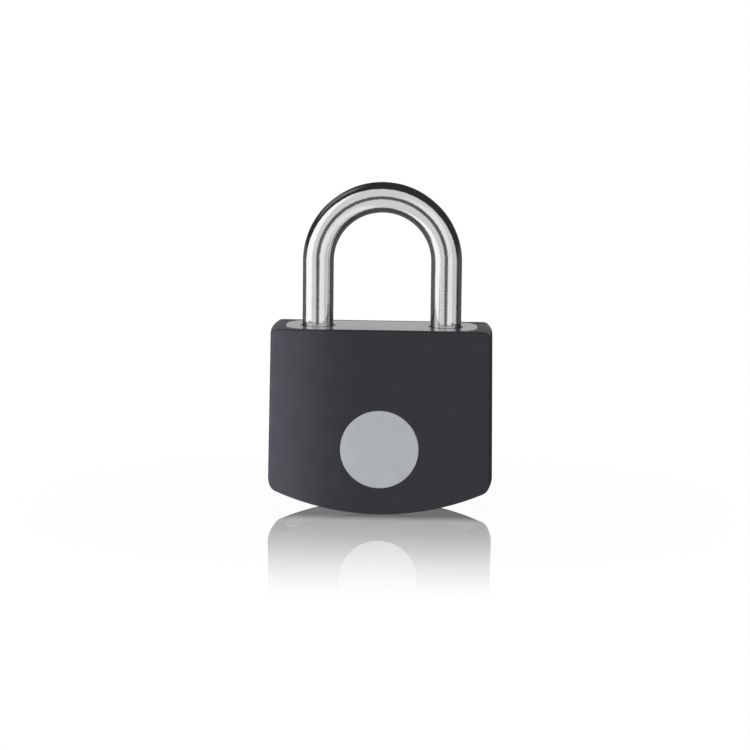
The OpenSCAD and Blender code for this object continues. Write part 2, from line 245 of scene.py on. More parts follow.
def brushGroup():
    # long fine lines along X, broken up so that no line runs the whole way
    group, enter, leave = newGroup(
        "brushedLines",
        [("Scale", "NodeSocketVector", (60.0, 5200.0, 5200.0)), ("Wander", "NodeSocketFloat", 0.4)],
        [("Height", "NodeSocketFloat"), ("Streaks", "NodeSocketFloat")])
    coords = addNode(group, "ShaderNodeTexCoord")
    stretch = addNode(group, "ShaderNodeMapping")
    join(group, coords, "Object", stretch, "Vector")
    join(group, enter, "Scale", stretch, "Scale")
    fine = addNode(group, "ShaderNodeTexNoise", {"Scale": 1.0, "Detail": 4.0, "Roughness": 0.7})
    wide = addNode(group, "ShaderNodeTexNoise", {"Scale": 0.22, "Detail": 2.0})
    join(group, stretch, "Vector", fine, "Vector")
    join(group, stretch, "Vector", wide, "Vector")
    join(group, enter, "Wander", fine, "Distortion")
    blend = addNode(group, "ShaderNodeMix", {"Factor": 0.4}, data_type="FLOAT")
    join(group, fine, "Fac", blend, "A")
    join(group, wide, "Fac", blend, "B")
    join(group, fine, "Fac", leave, "Height")
    join(group, blend, "Result", leave, "Streaks")
    return group


def edgeSheenGroup():
    # a mask that is 1 on rounded edges, broken up by noise; where it is used, edges take a lighter colour as a
    # painted highlight (sheen)
    group, enter, leave = newGroup(
        "paintedEdgeSheen",
        [("Amount", "NodeSocketFloat", 0.5), ("Breakup Scale", "NodeSocketFloat", 1500.0)],
        [("Mask", "NodeSocketFloat")])
    spread = addNode(group, "ShaderNodeBevel", {"Radius": 0.00035}, samples=4)
    plain = addNode(group, "ShaderNodeNewGeometry")
    turn = addNode(group, "ShaderNodeVectorMath", operation="DOT_PRODUCT")
    join(group, spread, "Normal", turn, 0)
    join(group, plain, "Normal", turn, 1)
    edge = addNode(group, "ShaderNodeMapRange",
                   {"From Min": 0.995, "From Max": 0.85, "To Min": 0.0, "To Max": 1.0}, clamp=True)
    join(group, turn, "Value", edge, "Value")
    coords = addNode(group, "ShaderNodeTexCoord")
    noise = addNode(group, "ShaderNodeTexNoise", {"Detail": 3.0})
    join(group, coords, "Object", noise, "Vector")
    join(group, enter, "Breakup Scale", noise, "Scale")
    both = addNode(group, "ShaderNodeMath", operation="MULTIPLY")
    join(group, edge, "Result", both, 0)
    join(group, noise, "Fac", both, 1)
    scaled = addNode(group, "ShaderNodeMath", operation="MULTIPLY", use_clamp=True)
    join(group, both, "Value", scaled, 0)
    join(group, enter, "Amount", scaled, 1)
    join(group, scaled, "Value", leave, "Mask")
    return group


def useGroup(tree, group, **values):
    made = tree.nodes.new("ShaderNodeGroup")
    made.node_tree = group
    for key, value in values.items():
        made.inputs[key.replace("_", " ")].default_value = value
    return made


def newMaterial(name, look):
    # a Principled shader with its plain values set on its own sockets
    material = bpy.data.materials.new(name)
    material.use_nodes = True
    tree = material.node_tree
    shader = tree.nodes["Principled BSDF"]
    shader.inputs["Metallic"].default_value = look.get("metallic", 0.0)
    shader.inputs["Roughness"].default_value = look.get("roughness", 0.5)
    shader.inputs["IOR"].default_value = look.get("ior", 1.5)
    return material, tree, shader


def colourFrom(tree, shader, source, output, dark, light, span=(0.3, 0.7)):
    # base colour between two shades, driven by a mask
    ramp = addNode(tree, "ShaderNodeMapRange", {"From Min": span[0], "From Max": span[1]}, clamp=True)
    join(tree, source, output, ramp, "Value")
    mix = addNode(tree, "ShaderNodeMix", data_type="RGBA")
    mix.inputs["A"].default_value = (*dark, 1)
    mix.inputs["B"].default_value = (*light, 1)
    tree.links.new(ramp.outputs["Result"], mix.inputs["Factor"])
    if shader:
        tree.links.new(mix.outputs["Result"], shader.inputs["Base Color"])
    return mix


def roughnessFrom(tree, shader, source, output, smooth, rough, span=(0.3, 0.7)):
    ramp = addNode(tree, "ShaderNodeMapRange",
                   {"From Min": span[0], "From Max": span[1], "To Min": smooth, "To Max": rough}, clamp=True)
    join(tree, source, output, ramp, "Value")
    join(tree, ramp, "Result", shader, "Roughness")


def bumpFrom(tree, shader, source, output, strength, distance):
    bump = addNode(tree, "ShaderNodeBump", {"Strength": strength, "Distance": distance})
    join(tree, source, output, bump, "Height")
    join(tree, bump, "Normal", shader, "Normal")


fineGrain = grainGroup()
brushedLines = brushGroup()
paintedEdgeSheen = edgeSheenGroup()

# the paler edge colour in the cover's look is a painted edge highlight (sheen)
coverLook = {"dark": (0.0412, 0.0394, 0.0492), "light": (0.0488, 0.0468, 0.0572), "paintedSheen": (0.085, 0.083, 0.09),
             "smooth": 0.44, "rough": 0.54, "grain": 5200.0, "mottle": 260.0, "depth": 0.00003}


def coverPlastic():
    look = coverLook
    material, tree, shader = newMaterial("charcoalPlastic", {"ior": 1.46})
    grain = useGroup(tree, fineGrain, Scale=look["grain"], Mottle_Scale=look["mottle"])
    # rounded edges are lightened towards a paler charcoal: painted edge highlight (sheen)
    sheenMask = useGroup(tree, paintedEdgeSheen, Amount=0.5, Breakup_Scale=900.0)
    base = colourFrom(tree, None, grain, "Mottle", look["dark"], look["light"])
    paintedSheen = addNode(tree, "ShaderNodeMix", data_type="RGBA")
    paintedSheen.inputs["B"].default_value = (*look["paintedSheen"], 1)
    tree.links.new(base.outputs["Result"], paintedSheen.inputs["A"])
    tree.links.new(sheenMask.outputs["Mask"], paintedSheen.inputs["Factor"])
    tree.links.new(paintedSheen.outputs["Result"], shader.inputs["Base Color"])
    roughnessFrom(tree, shader, grain, "Mottle", look["smooth"], look["rough"])
    bumpFrom(tree, shader, grain, "Height", 0.5, look["depth"])
    return material


coreLook = {"dark": (0.46, 0.455, 0.455), "light": (0.62, 0.612, 0.612), "smooth": 0.26, "rough": 0.42,
            "lines": (45.0, 4200.0, 4200.0), "depth": 0.000012}


def brushedAluminium():
    look = coreLook
    material, tree, shader = newMaterial("brushedAluminium", {"metallic": 1.0})
    lines = useGroup(tree, brushedLines, Scale=look["lines"])
    colourFrom(tree, shader, lines, "Streaks", look["dark"], look["light"])
    roughnessFrom(tree, shader, lines, "Streaks", look["smooth"], look["rough"])
    bumpFrom(tree, shader, lines, "Height", 0.35, look["depth"])
    return material


badgeLook = {"dark": (0.79, 0.82, 0.865), "light": (0.83, 0.86, 0.905), "smooth": 0.42, "rough": 0.5,
             "grain": 7000.0, "mottle": 420.0, "depth": 0.000008}


def satinBadge():
    look = badgeLook
    material, tree, shader = newMaterial("satinBadge", {"metallic": 0.55})
    grain = useGroup(tree, fineGrain, Scale=look["grain"], Mottle_Scale=look["mottle"])
    colourFrom(tree, shader, grain, "Mottle", look["dark"], look["light"])
    roughnessFrom(tree, shader, grain, "Mottle", look["smooth"], look["rough"])
    bumpFrom(tree, shader, grain, "Height", 0.3, look["depth"])
    return material


chromeLook = {"dark": (0.86, 0.865, 0.87), "light": (0.93, 0.93, 0.93), "smooth": 0.05, "rough": 0.09,
              "mottle": 180.0, "depth": 0.000014}


def polishedChrome():
    look = chromeLook
    material, tree, shader = newMaterial("polishedChrome", {"metallic": 1.0})
    grain = useGroup(tree, fineGrain, Scale=3000.0, Mottle_Scale=look["mottle"])
    colourFrom(tree, shader, grain, "Mottle", look["dark"], look["light"])
    roughnessFrom(tree, shader, grain, "Mottle", look["smooth"], look["rough"])
    bumpFrom(tree, shader, grain, "Height", 1.0, look["depth"])
    return material


brassLook = {"dark": (0.5, 0.36, 0.15), "light": (0.72, 0.55, 0.27), "smooth": 0.24, "rough": 0.38}
steelLook = {"dark": (0.38, 0.385, 0.4), "light": (0.6, 0.605, 0.62), "smooth": 0.24, "rough": 0.4}


def turnedMetal(name, look, lines):
    # machined metal: tool lines across the axis, a slow mottle and edges made brighter by a painted highlight
    material, tree, shader = newMaterial(name, {"metallic": 1.0})
    marks = useGroup(tree, brushedLines, Scale=lines)
    # edges are lifted towards a paler tone of the metal: painted edge highlight (sheen)
    sheenMask = useGroup(tree, paintedEdgeSheen, Amount=1.2, Breakup_Scale=2500.0)
    base = colourFrom(tree, None, marks, "Streaks", look["dark"], look["light"])
    paintedSheen = addNode(tree, "ShaderNodeMix", data_type="RGBA")
    paintedSheen.inputs["B"].default_value = (*[min(1, 1.25 * c) for c in look["light"]], 1)
    tree.links.new(base.outputs["Result"], paintedSheen.inputs["A"])
    tree.links.new(sheenMask.outputs["Mask"], paintedSheen.inputs["Factor"])
    tree.links.new(paintedSheen.outputs["Result"], shader.inputs["Base Color"])
    roughnessFrom(tree, shader, marks, "Streaks", look["smooth"], look["rough"])
    bumpFrom(tree, shader, marks, "Height", 0.3, 0.00001)
    return material


finishes = {
    "cover": coverPlastic(),
    "core": brushedAluminium(),
    "badge": satinBadge(),
    "shackle": polishedChrome(),
    "plug": turnedMetal("turnedBrass", brassLook, (900.0, 900.0, 6000.0)),
    "brass": turnedMetal("drawnBrass", brassLook, (5000.0, 700.0, 700.0)),
    "steel": turnedMetal("plainSteel", steelLook, (5000.0, 900.0, 900.0)),
}
for name, node in nodes.items():
    for entry in node.material_slots:
        entry.material = finishes[slotOf[name]]
print("finishes made:", len(finishes))

coverSize = {"endWall": 2.3, "flare": 0.4, "bow": 0.545, "rise": 4.8, "topCorner": 1.3, "lowCorner": 2.2,
             "topEdge": 0.72, "cornerEdge": 0.42, "sideEdge": 0.3, "baseEdge": 0.34, "ease": 3.0,
             "slices": 12, "pocketCorner": 1.2, "rim": 0.18, "seat": 0.01}
topZ = high("cover").z
frontY = low("cover").y
backY = high("cover").y
coreHalf = high("body_core").x
coreBack = high("body_core").y
halfTop = coreHalf + coverSize["endWall"]
lowHalf = halfTop + coverSize["flare"]
baseR = (lowHalf ** 2 + coverSize["rise"] ** 2) / (2 * coverSize["rise"])
bowR = (backY ** 2 + coverSize["bow"] ** 2) / (2 * coverSize["bow"])


def frontOutline(bm, y):
    # half of the body's outline, from the middle of the top round to the lowest point, then mirrored
    size = coverSize
    sideRun = topZ - size["rise"]
    sideOut = Vector((sideRun, size["flare"])).normalized()
    sideDown = Vector((size["flare"], -sideRun)).normalized()
    top = size["topCorner"]
    topCentre = Vector((halfTop + size["flare"] * top / sideRun - top / sideOut.x, topZ - top))
    base = Vector((0, baseR))
    start = Vector((halfTop, topZ)) - size["lowCorner"] * sideOut - base
    reach = baseR - size["lowCorner"]
    drop = start.dot(sideDown)
    along = math.sqrt(drop ** 2 - start.length_squared + reach ** 2) - drop
    lowCentre = start + along * sideDown + base
    lowOut = (lowCentre - base).normalized()
    topTurn = math.degrees(Vector((0, 1)).angle(sideOut))
    lowTurn = math.degrees(sideOut.angle(lowOut))
    baseTurn = math.degrees(lowOut.angle(Vector((0, -1))))
    tip = bm.verts.new((0, y, topZ))
    for k in range(7):
        tip = runTo(bm, tip, topCentre.x - size["ease"] * (1 - k / 6), topZ)
    tip = turnAbout(bm, tip, topCentre, topTurn, 6)
    foot = lowCentre + size["lowCorner"] * sideOut
    tip = runTo(bm, tip, foot.x, foot.y)
    tip = turnAbout(bm, tip, lowCentre, lowTurn, 10)
    baseStart = tip.co.copy()
    turnAbout(bm, tip, base, baseTurn, 44)
    bmesh.ops.mirror(bm, geom=bm.verts[:] + bm.edges[:], matrix=Matrix.Identity(4), merge_dist=0.001,
                     axis="X")
    face = bmesh.ops.contextual_create(bm, geom=bm.edges[:])["faces"][0]
    return face, topCentre, lowCentre, baseStart


def edgeRadius(point, topCentre, lowCentre):
    # the long top edges are the roundest; the radius eases off before the corners and round them
    size = coverSize
    if point.z > topZ - 0.001:
        share = min(1, max(0, (abs(point.x) - topCentre.x + size["ease"]) / size["ease"]))
        share = share * share * (3 - 2 * share)
        return size["topEdge"] + (size["cornerEdge"] - size["topEdge"]) * share
    if point.z > topCentre.y:
        share = (topZ - point.z) / size["topCorner"]
        return size["cornerEdge"] + (size["sideEdge"] - size["cornerEdge"]) * share
    if point.z < lowCentre.y:
        return size["baseEdge"]
    return size["sideEdge"]


def bowedSlab(bm, face, lowCentre, baseStart):
    # the outline is carried back in slices; the sides and their corners move out towards the middle
    size = coverSize
    slope = baseStart.x / (baseR - baseStart.z)
    depth = (backY - frontY) / size["slices"]
    out = 0.0
    for k in range(1, size["slices"] + 1):
        y = frontY + depth * k
        bow = math.sqrt(bowR ** 2 - y ** 2) - bowR + size["bow"]
        made = bmesh.ops.extrude_face_region(bm, geom=[face])
        verts = [g for g in made["geom"] if isinstance(g, bmesh.types.BMVert)]
        if k > 1:
            bmesh.ops.delete(bm, geom=[face], context="FACES_ONLY")
        face = [g for g in made["geom"] if isinstance(g, bmesh.types.BMFace)][0]
        bmesh.ops.translate(bm, verts=verts, vec=(0, depth, 0))
        for side in (-1, 1):
            moved = [v for v in verts if side * v.co.x > baseStart.x + out - 0.01]
            lows = [v for v in moved if v.co.z < lowCentre.y + slope * out + 0.1]
            bmesh.ops.translate(bm, verts=moved, vec=(side * (bow - out), 0, 0))
            bmesh.ops.translate(bm, verts=lows, vec=(0, 0, slope * (bow - out)))
        out = bow


def pocketCutter():
    size = coverSize
    width = 2 * (coreHalf + size["seat"])
    depth = 2 * (coreBack + size["seat"])
    bm = bmesh.new()
    roundedPlan(bm, width, depth, size["pocketCorner"])
    place(bm, z=-1)
    rise = topZ - size["rim"] + cross
    liftTop(bm, rise + 1)
    steps = 5
    spread = 0.0
    for k in range(1, steps + 1):
        angle = math.pi / 2 * k / steps
        before = math.pi / 2 * (k - 1) / steps
        wider = size["rim"] * (1 - math.cos(angle))
        scale = ((width + 2 * wider) / (width + 2 * spread), (depth + 2 * wider) / (depth + 2 * spread), 1)
        liftTop(bm, size["rim"] * (math.sin(angle) - math.sin(before)), scale)
        spread = wider
    liftTop(bm, 1)
    tidyMesh(bm)
    return toObject(bm, "cutter")


def makeCover():
    bm = bmesh.new()
    face, topCentre, lowCentre, baseStart = frontOutline(bm, frontY)
    bowedSlab(bm, face, lowCentre, baseStart)
    bmesh.ops.recalc_face_normals(bm, faces=bm.faces[:])
    weight = bm.edges.layers.float.new("bevel_weight_edge")
    for edge in bm.edges:
        a, b = edge.verts
        if abs(a.co.y - b.co.y) < 0.01 and abs(a.co.y) > backY - 0.01:
            radius = edgeRadius((a.co + b.co) / 2, topCentre, lowCentre)
            edge[weight] = radius / coverSize["topEdge"]
    piece = toObject(bm, "cover_shell")
    rounding = piece.modifiers.new("rounding", "BEVEL")
    rounding.limit_method = "WEIGHT"
    rounding.width = coverSize["topEdge"]
    rounding.segments = 6
    rounding.use_clamp_overlap = False
    settle(piece)
    recess = drill(badgeRadius + coverSize["seat"], -frontY - badgeSize["thick"], -frontY, mouth=0.08,
                   steps=128, at=(0, 0, badgeCentre), turn=(90, "X"))
    cutAway(piece, pocketCutter(), recess)
    return finishPiece(piece, "cover", finishes["cover"], "lock_body")


badgeSize = {"edge": 0.22, "steps": 160}
badgeRadius = high("front_badge").x
badgeCentre = (low("front_badge").z + high("front_badge").z) / 2
badgeSize["thick"] = high("front_badge").y - frontY


def makeBadge():
    # a blank disc with a rounded front edge
    edge = badgeSize["edge"]
    bm = bmesh.new()
    tip = runTo(bm, bm.verts.new((0, 0, 0)), badgeRadius - edge, 0)
    tip = turnAbout(bm, tip, (badgeRadius - edge, edge), -90, 6)
    tip = runTo(bm, tip, badgeRadius, badgeSize["thick"])
    runTo(bm, tip, 0, badgeSize["thick"])
    lathe(bm, badgeSize["steps"])
    place(bm, y=frontY, z=badgeCentre, turn=(-90, "X"))
    return finishPiece(toObject(bm, "badge_disc"), "front_badge", finishes["badge"], "lock_body")


coreSize = {"corner": 4.5, "rim": 0.25, "legGap": 0.25, "mouth": 0.25, "toeGap": 0.5, "counterGap": 0.05,
            "crankGap": 0.3, "boltGap": 0.05, "pinGap": 0.05}


def baseCutter():
    # everything under the curved base
    reach = lowHalf + 3
    half = math.degrees(math.asin(reach / baseR))
    bm = bmesh.new()
    start = bm.verts.new((reach, -10, baseR - math.sqrt(baseR ** 2 - reach ** 2)))
    tip = turnAbout(bm, start, (0, baseR), 2 * half, 110)
    tip = runTo(bm, tip, -reach, -5)
    tip = runTo(bm, tip, reach, -5)
    bm.edges.new((tip, start))
    face = bmesh.ops.contextual_create(bm, geom=bm.edges[:])["faces"][0]
    pushOut(bm, face, 20)
    tidyMesh(bm)
    return toObject(bm, "cutter")


def along(axisZ, start, end, radius, steps=48):
    # a drill along X at a height
    return drill(radius, start, end, steps=steps, at=(0, 0, axisZ), turn=(90, "Y"))


def across(x, z, radius):
    # a drill from front to back
    return drill(radius, -10, 10, steps=48, at=(x, 0, z), turn=(90, "X"))


def middle(node):
    return (low(node) + high(node)) / 2


def makeCore():
    size = coreSize
    bm = bmesh.new()
    roundedPlan(bm, 2 * coreHalf, 2 * coreBack, size["corner"], steps=12)
    place(bm, z=-1)
    liftTop(bm, topZ + 1)
    top = [e for e in bm.edges if all(abs(v.co.z - topZ) < 1e-4 for v in e.verts)]
    roundEdges(bm, top, size["rim"], steps=4)
    tidyMesh(bm)
    piece = toObject(bm, "core_block")
    holeR = rodR + size["legGap"]
    plugR = high("cam").x + 0.2
    headR = high("cylinder_plug").x
    boreTop = high("cylinder_plug").z + 1.2
    boltZ = middle("locking_bolt").z
    boltR = high("locking_bolt").y + size["boltGap"]
    cutters = [baseCutter(),
               drill(holeR, low("shackle_spring").z, topZ, mouth=size["mouth"], at=(-legX, 0, 0)),
               drill(holeR, toeTip - size["toeGap"], topZ, mouth=size["mouth"], at=(legX, 0, 0)),
               drill(plugR, -1, boreTop),
               drill(headR + size["counterGap"], -1, 2.05),
               drill(2.5, boreTop - 1, high("cam").z + size["crankGap"]),
               along(boltZ, low("bolt_spring").x, coreHalf + 1, boltR)]
    for n in range(1, 5):
        cutters.append(along(middle(f"driver_pin_{n}").z, 0, coreHalf + 1,
                             high(f"driver_pin_{n}").y + size["pinGap"], steps=40))
    for pin in ("shackle_retaining_pin", "plug_retaining_pin"):
        spot = middle(pin)
        cutters.append(across(spot.x, spot.z, high(pin).x - spot.x + coverSize["seat"]))
    cutAway(piece, *cutters)
    return finishPiece(piece, "body_core", finishes["core"], "lock_body")


shackleSize = {"tipRound": 0.6, "headHeight": 2.0, "neckIn": 1.0, "neckAbove": 0.2, "toeDepth": 10.3,
               "notchDepth": 1.7, "notchGap": 0.2, "rimRound": 0.14, "steps": 72, "bendSteps": 108}
rodR = high("shackle").y
legX = high("shackle").x - rodR
crownZ = high("shackle").z - legX - rodR
toeTip = topZ - shackleSize["toeDepth"]


def makeShackle():
    # the heel leg is turned as a profile, its open end swept over the crown and run down to the toe
    size = shackleSize
    tipRound = size["tipRound"]
    heelTip = low("shackle").z
    neckR = rodR - size["neckIn"]
    bm = bmesh.new()
    tip = runTo(bm, bm.verts.new((0, 0, heelTip)), rodR - tipRound, heelTip)
    tip = turnAbout(bm, tip, (rodR - tipRound, heelTip + tipRound), -90, 6)
    headTop = heelTip + size["headHeight"]
    neckTop = high("shackle_retaining_pin").z + size["neckAbove"]
    for x, z in ((rodR, headTop), (neckR, headTop), (neckR, neckTop), (rodR, neckTop), (rodR, crownZ)):
        tip = runTo(bm, tip, x, z)
    lathe(bm, size["steps"])
    place(bm, x=-legX)
    ring = [e for e in bm.edges if e.is_boundary]
    bend = bmesh.ops.spin(bm, geom=ring, cent=(0, 0, crownZ), axis=(0, 1, 0), angle=math.pi,
                          steps=size["bendSteps"], use_duplicate=False)
    ring = [g for g in bend["geom_last"] if isinstance(g, bmesh.types.BMEdge)]
    wasR = rodR
    for k in range(7):
        angle = math.pi / 2 * k / 6
        made = bmesh.ops.extrude_edge_only(bm, edges=ring)["geom"]
        ring = [g for g in made if isinstance(g, bmesh.types.BMEdge) and g.is_boundary]
        verts = [g for g in made if isinstance(g, bmesh.types.BMVert)]
        ringR = rodR - tipRound * (1 - math.cos(angle))
        z = toeTip + tipRound * (1 - math.sin(angle))
        bmesh.ops.translate(bm, verts=verts, vec=(-legX, 0, z - verts[0].co.z))
        bmesh.ops.scale(bm, vec=(ringR / wasR, ringR / wasR, 1), verts=verts)
        bmesh.ops.translate(bm, verts=verts, vec=(legX, 0, 0))
        wasR = ringR
    bmesh.ops.contextual_create(bm, geom=ring)
    tidyMesh(bm)
    piece = toObject(bm, "shackle_bar")
    bolt = middle("locking_bolt")
    notchHalf = high("locking_bolt").y + size["notchGap"]
    wall = legX - rodR + size["notchDepth"]
    bm = bmesh.new()
    box = bmesh.ops.create_cube(bm, size=1)["verts"]
    bmesh.ops.scale(bm, vec=(6, 12, 2 * notchHalf), verts=box)
    place(bm, x=wall - 3, z=bolt.z)
    cutAway(piece, toObject(bm, "cutter"))
    rims = piece.modifiers.new("rims", "BEVEL")
    rims.limit_method = "ANGLE"
    rims.angle_limit = math.radians(50)
    rims.width = size["rimRound"]
    rims.segments = 2
    settle(piece)
    return finishPiece(piece, "shackle", finishes["shackle"], "shackle")


springSizes = {
    "shackle_spring": {"wire": 0.6, "outer": 5.6, "turns": 5, "from": "lock_body", "to": "shackle"},
    "bolt_spring": {"wire": 0.35, "outer": 3.6, "turns": 4, "from": "lock_body", "to": "locking_bolt"},
}
for n in range(1, 5):
    springSizes[f"pin_spring_{n}"] = {"wire": 0.3, "outer": 2.5, "turns": 8, "from": "lock_body",
                                      "to": f"driver_pin_{n}"}


def makeSpring(name, size):
    # a round wire swept round the axis: a closed turn at each end and open turns between
    start, end = low(name), high(name)
    upright = name == "shackle_spring"
    length = end.z - start.z if upright else end.x - start.x
    wire = size["wire"]
    closed = wire * 1.04
    turnSteps = 28
    opened = (length - wire - 2 * closed) / (size["turns"] - 2)
    bm = bmesh.new()
    bmesh.ops.create_circle(bm, cap_ends=False, radius=wire / 2, segments=12)
    place(bm, x=(size["outer"] - wire) / 2, z=wire / 2, turn=(90, "X"))
    ring = bm.edges[:]
    for turns, climb in ((1, closed), (size["turns"] - 2, opened), (1, closed)):
        made = bmesh.ops.spin(bm, geom=ring, cent=(0, 0, 0), axis=(0, 0, 1), angle=math.tau * turns,
                              steps=turnSteps * turns, dvec=(0, 0, climb / turnSteps), use_duplicate=False)
        ring = [g for g in made["geom_last"] if isinstance(g, bmesh.types.BMEdge)]
    bmesh.ops.holes_fill(bm, edges=bm.edges[:], sides=0)
    tidyMesh(bm)
    centre = (start + end) / 2
    if upright:
        place(bm, x=centre.x, z=start.z)
    else:
        place(bm, x=start.x, z=centre.z, turn=(90, "Y"))
    piece = finishPiece(toObject(bm, name + "_coil"), name, finishes["steel"], None, weighted=False)
    ends = [Vector((centre.x, 0, start.z)), Vector((centre.x, 0, end.z))]
    if not upright:
        ends = [Vector((start.x, 0, centre.z)), Vector((end.x, 0, centre.z))]
    if name.startswith("pin_spring"):
        ends.reverse()
    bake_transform(piece)
    return piece


makeCover()
makeBadge()
makeCore()
makeShackle()
for name, size in springSizes.items():
    makeSpring(name, size)
print("pieces made")

# the contact values raise the floor's mirror share at the footprint, as painted contact shade
floorLook = {"size": 12.0, "gloss": 0.62, "fade": 0.076, "contact": 0.27, "contactReach": 0.007,
             "bounce": 0.8}


def makeFloor():
    # a white sheet that mirrors the object faintly close to it; right at the footprint the mirror share is raised
    # further, so the floor darkens there as painted contact shade
    bm = bmesh.new()
    bmesh.ops.create_grid(bm, x_segments=1, y_segments=1, size=floorLook["size"] / 2)
    floor = toObject(bm, "studio_floor")
    material = bpy.data.materials.new("whiteSheet")
    material.use_nodes = True
    tree = material.node_tree
    tree.nodes.clear()
    coords = addNode(tree, "ShaderNodeTexCoord")
    fold = addNode(tree, "ShaderNodeVectorMath", operation="ABSOLUTE")
    join(tree, coords, "Object", fold, 0)
    body = addNode(tree, "ShaderNodeVectorMath", operation="SUBTRACT")
    body.inputs[1].default_value = (lowHalf * mm, backY * mm, 0)
    join(tree, fold, "Vector", body, 0)
    outside = addNode(tree, "ShaderNodeVectorMath", operation="MAXIMUM")
    outside.inputs[1].default_value = (0, 0, 0)
    join(tree, body, "Vector", outside, 0)
    distance = addNode(tree, "ShaderNodeVectorMath", operation="LENGTH")
    join(tree, outside, "Vector", distance, 0)
    fade = addNode(tree, "ShaderNodeMapRange",
                   {"From Min": 0.004, "From Max": floorLook["fade"], "To Min": floorLook["gloss"],
                    "To Max": 0.0}, interpolation_type="SMOOTHSTEP", clamp=True)
    join(tree, distance, "Value", fade, "Value")
    # a stronger mirror share close to the footprint darkens the floor there: painted contact shade
    paintedContactShade = addNode(tree, "ShaderNodeMapRange",
                   {"From Min": 0.0, "From Max": floorLook["contactReach"], "To Min": floorLook["contact"],
                    "To Max": 0.0}, interpolation_type="SMOOTHSTEP", clamp=True)
    join(tree, distance, "Value", paintedContactShade, "Value")
    share = addNode(tree, "ShaderNodeMath", operation="ADD")
    join(tree, fade, "Result", share, 0)
    join(tree, paintedContactShade, "Result", share, 1)
    grazing = addNode(tree, "ShaderNodeLayerWeight", {"Blend": 0.5})
    grazed = addNode(tree, "ShaderNodeMapRange", {"From Min": 0.25, "From Max": 0.65}, clamp=True)
    join(tree, grazing, "Facing", grazed, "Value")
    mirrored = addNode(tree, "ShaderNodeMath", operation="MULTIPLY")
    join(tree, share, "Value", mirrored, 0)
    join(tree, grazed, "Result", mirrored, 1)
    white = addNode(tree, "ShaderNodeEmission", {"Color": (1, 1, 1, 1), "Strength": 1.0})
    mirror = addNode(tree, "ShaderNodeBsdfAnisotropic", {"Color": (1, 1, 1, 1), "Roughness": 0.02})
    seen = addNode(tree, "ShaderNodeMixShader")
    join(tree, mirrored, "Value", seen, 0)
    join(tree, white, "Emission", seen, 1)
    join(tree, mirror, "BSDF", seen, 2)
    bounce = addNode(tree, "ShaderNodeBsdfDiffuse")
    bounce.inputs["Color"].default_value = (floorLook["bounce"],) * 3 + (1,)
    ray = addNode(tree, "ShaderNodeLightPath")
    leave = addNode(tree, "ShaderNodeOutputMaterial")
    either = addNode(tree, "ShaderNodeMixShader")
    join(tree, ray, "Is Camera Ray", either, 0)
    join(tree, bounce, "BSDF", either, 1)
    join(tree, seen, "Shader", either, 2)
    join(tree, either, "Shader", leave, "Surface")
    floor.data.materials.append(material)
    floor.visible_glossy = False


# Studio cards as seen from the object: az is degrees round from the front, right positive, el is
# degrees above the horizon. Later cards lie over earlier ones.
roomLevel = 0.028
cards = [
    {"az": (-99, 88), "el": (-80, 77), "level": 0.67, "soft": 8},
    {"az": (-99, -46), "el": (-80, 77), "level": 1.05, "soft": 8},
    {"az": (11, 44), "el": (-80, 30), "level": 0.84, "soft": 6},
    {"az": (76, 88), "el": (-80, 77), "level": 0.4, "soft": 3},
    {"az": (58.5, 61.5), "el": (-30, 6), "level": 0.25, "soft": 2},
]
backCards = [
    {"az": (100, 200), "el": (-95, 2), "level": 0.08, "soft": 10},
    {"az": (-200, -100), "el": (-95, 2), "level": 0.11, "soft": 10},
    {"az": (158, 210), "el": (-2, 20), "level": 0.97, "soft": 6},
    {"az": (-210, -158), "el": (-2, 20), "level": 0.97, "soft": 6},
    {"az": (-146, -106), "el": (26, 62), "level": 0.16, "soft": 8},
]
gap = {"az": -1.0, "el": 0.0, "wide": 16.0, "tall": 11.5, "level": 0.1}
hood = {"up": 0.42, "right": 0.12, "soft": 0.04}      # how the lit front narrows upwards and to the right


def cardMask(tree, value, edges, soft):
    rise = addNode(tree, "ShaderNodeMapRange", {"From Min": edges[0] - soft / 2, "From Max": edges[0] + soft / 2},
                   interpolation_type="SMOOTHSTEP", clamp=True)
    fall = addNode(tree, "ShaderNodeMapRange", {"From Min": edges[1] + soft / 2, "From Max": edges[1] - soft / 2},
                   interpolation_type="SMOOTHSTEP", clamp=True)
    both = addNode(tree, "ShaderNodeMath", operation="MULTIPLY")
    join(tree, value, "Value", rise, "Value")
    join(tree, value, "Value", fall, "Value")
    join(tree, rise, "Result", both, 0)
    join(tree, fall, "Result", both, 1)
    return both


def layOver(tree, below, mask, output, level):
    mix = addNode(tree, "ShaderNodeMix", {"B": level}, data_type="FLOAT")
    join(tree, mask, output, mix, "Factor")
    if below is None:
        mix.inputs["A"].default_value = roomLevel
    else:
        join(tree, below, "Result", mix, "A")
    return mix


def layCards(tree, level, rows, az, el):
    for card in rows:
        sides = cardMask(tree, az, card["az"], card["soft"])
        ends = cardMask(tree, el, card["el"], card["soft"])
        both = addNode(tree, "ShaderNodeMath", operation="MULTIPLY")
        join(tree, sides, "Value", both, 0)
        join(tree, ends, "Value", both, 1)
        level = layOver(tree, level, both, "Value", card["level"])
    return level


def hoodMask(tree, coords):
    # 1 where the direction lies above the slanted plane that ends the lit front
    slant = addNode(tree, "ShaderNodeVectorMath", {1: (hood["right"], 1.0, hood["up"])},
                    operation="DOT_PRODUCT")
    join(tree, coords, "Generated", slant, 0)
    mask = addNode(tree, "ShaderNodeMapRange", {"From Min": -hood["soft"], "From Max": hood["soft"]},
                   interpolation_type="SMOOTHSTEP", clamp=True)
    join(tree, slant, "Value", mask, "Value")
    return mask


